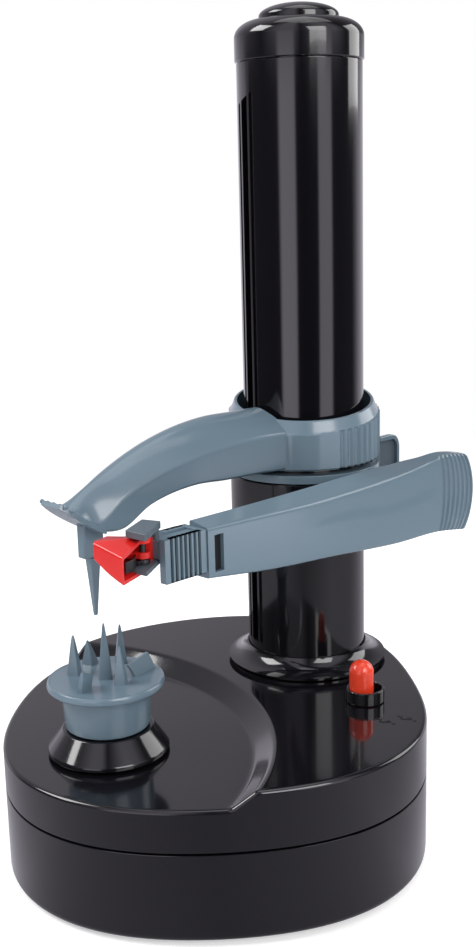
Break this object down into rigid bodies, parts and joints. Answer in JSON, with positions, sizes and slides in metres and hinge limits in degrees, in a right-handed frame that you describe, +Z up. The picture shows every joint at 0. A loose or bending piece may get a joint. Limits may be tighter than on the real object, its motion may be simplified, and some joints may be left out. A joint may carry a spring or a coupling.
{
  "type": "electric potato peeler",
  "caption": "Electric potato peeler: spiked turntable on a battery base, slotted tower with a lead screw, arm that pins the potato and sprung arm with a swivelling blade.",
  "frame": {"origin": "middle of the object's footprint box, on the table", "axes": "+Z up; the turntable lies in front of the tower along -Y; the peeling arm is at the +X side"},
  "size_m": [0.1582, 0.1876, 0.29],
  "materials": {
    "gloss_black": "glossy black moulded plastic",
    "inner_black": "plain black moulded plastic",
    "blue_grey": "satin blue-grey moulded plastic",
    "dark_grey": "satin dark grey moulded plastic",
    "guard_red": "red moulded plastic",
    "lever_red": "orange-red moulded plastic",
    "white_nylon": "off-white nylon",
    "steel": "bright steel",
    "rubber": "matt black rubber",
    "cell_wrap": "plain printed film"
  },
  "bodies": {
    "housing": {"base_lower_shell": "gloss_black", "base_upper_shell": "gloss_black", "foot_1": "rubber", "foot_2": "rubber", "foot_3": "rubber", "foot_4": "rubber", "base_screw_1": "steel", "base_screw_2": "steel", "base_screw_3": "steel", "base_screw_4": "steel", "gear_plate": "white_nylon", "battery_cell_1": "cell_wrap", "battery_cell_2": "cell_wrap", "battery_cell_3": "cell_wrap", "battery_cell_4": "cell_wrap", "contact_plate_front": "steel", "contact_plate_rear": "steel", "idler_pin": "steel", "drive_motor": "steel", "turntable_bush": "white_nylon", "tower_tube": "gloss_black", "tower_foot": "gloss_black", "tower_cap": "gloss_black", "button_spring": "steel", "start_switch": "inner_black", "screw_top_bush": "white_nylon", "switch_collar": "gloss_black", "slide_switch": "inner_black"},
    "turntable": {"turntable_gear": "white_nylon", "turntable_shaft": "steel", "turntable_hub": "gloss_black", "food_holder": "blue_grey"},
    "idler": {"idler_gear": "white_nylon"},
    "pinion": {"motor_pinion": "white_nylon", "motor_shaft": "steel"},
    "screw": {"lead_screw": "steel", "screw_gear": "white_nylon"},
    "button": {"top_button": "gloss_black"},
    "potato_arm": {"upper_arm": "blue_grey", "upper_spike": "blue_grey", "collar_bush": "inner_black"},
    "carriage": {"peel_carriage": "blue_grey", "carriage_sleeve": "gloss_black", "arm_pivot_pin": "steel", "arm_spring": "steel"},
    "nut": {"half_nut": "white_nylon"},
    "swing_arm": {"peel_arm": "blue_grey"},
    "cartridge": {"blade_cartridge": "dark_grey", "blade_pin": "steel"},
    "blade_head": {"blade_guard": "guard_red", "peeling_blade": "steel"},
    "lever": {"switch_lever": "lever_red"},
    "door": {"battery_door": "gloss_black"}
  },
  "joints": [
    {"name": "turntable_spin", "type": "hinge", "parent": "housing", "child": "turntable", "pos_m": [-0.00314, -0.06002, 0.05], "axis": [0, 0, 1], "continuous": true},
    {"name": "idler_spin", "type": "hinge", "parent": "housing", "child": "idler", "pos_m": [-0.01683, -0.00469, 0.039], "axis": [0, 0, 1], "continuous": true},
    {"name": "screw_spin", "type": "hinge", "parent": "housing", "child": "screw", "pos_m": [-0.00314, 0.03818, 0.039], "axis": [0, 0, 1], "continuous": true},
    {"name": "pinion_spin", "type": "hinge", "parent": "housing", "child": "pinion", "pos_m": [0.02507, -0.00176, 0.039], "axis": [0, 0, 1], "continuous": true},
    {"name": "upper_arm_slide", "type": "slide", "parent": "housing", "child": "potato_arm", "axis": [0, 0, 1], "range_m": [0, 0.115]},
    {"name": "carriage_slide", "type": "slide", "parent": "housing", "child": "carriage", "axis": [0, 0, 1], "range_m": [-0.036, 0]},
    {"name": "peel_arm_swing", "type": "hinge", "parent": "carriage", "child": "swing_arm", "pos_m": [0.02866, 0.04618, 0.1181], "axis": [0, 0, 1], "range_deg": [0, 25], "stiffness_Nm_per_rad": 0.3, "springref_deg": -8.59},
    {"name": "half_nut_release", "type": "slide", "parent": "carriage", "child": "nut", "axis": [-0.309, -0.9511, 0], "range_m": [0, 0.0015]},
    {"name": "cartridge_slide", "type": "slide", "parent": "swing_arm", "child": "cartridge", "axis": [0, -1, 0], "range_m": [0, 0.014]},
    {"name": "blade_swivel", "type": "hinge", "parent": "cartridge", "child": "blade_head", "pos_m": [0.02836, -0.06802, 0.12], "axis": [0, 0, 1], "range_deg": [-12, 12]},
    {"name": "button_press", "type": "slide", "parent": "housing", "child": "button", "axis": [0, 0, 1], "range_m": [-0.003, 0], "stiffness_N_per_m": 600, "springref_m": 0.0006, "deforming": ["button_spring"]},
    {"name": "switch_slide", "type": "slide", "parent": "housing", "child": "lever", "axis": [0.7373, 0.6756, 0], "range_m": [0, 0.0024]},
    {"name": "door_hinge", "type": "hinge", "parent": "housing", "child": "door", "pos_m": [-0.02514, 0.00163, 0.0015], "axis": [1, 0, 0], "range_deg": [0, 95]}
  ],
  "couplings": [
    {"joint": "idler_spin", "follows": "turntable_spin", "ratio": -0.72727},
    {"joint": "screw_spin", "follows": "turntable_spin", "ratio": 2},
    {"joint": "pinion_spin", "follows": "turntable_spin", "ratio": 2.6667},
    {"joint": "half_nut_release", "follows": "peel_arm_swing", "m_per_rad": 0.0034}
  ]
}
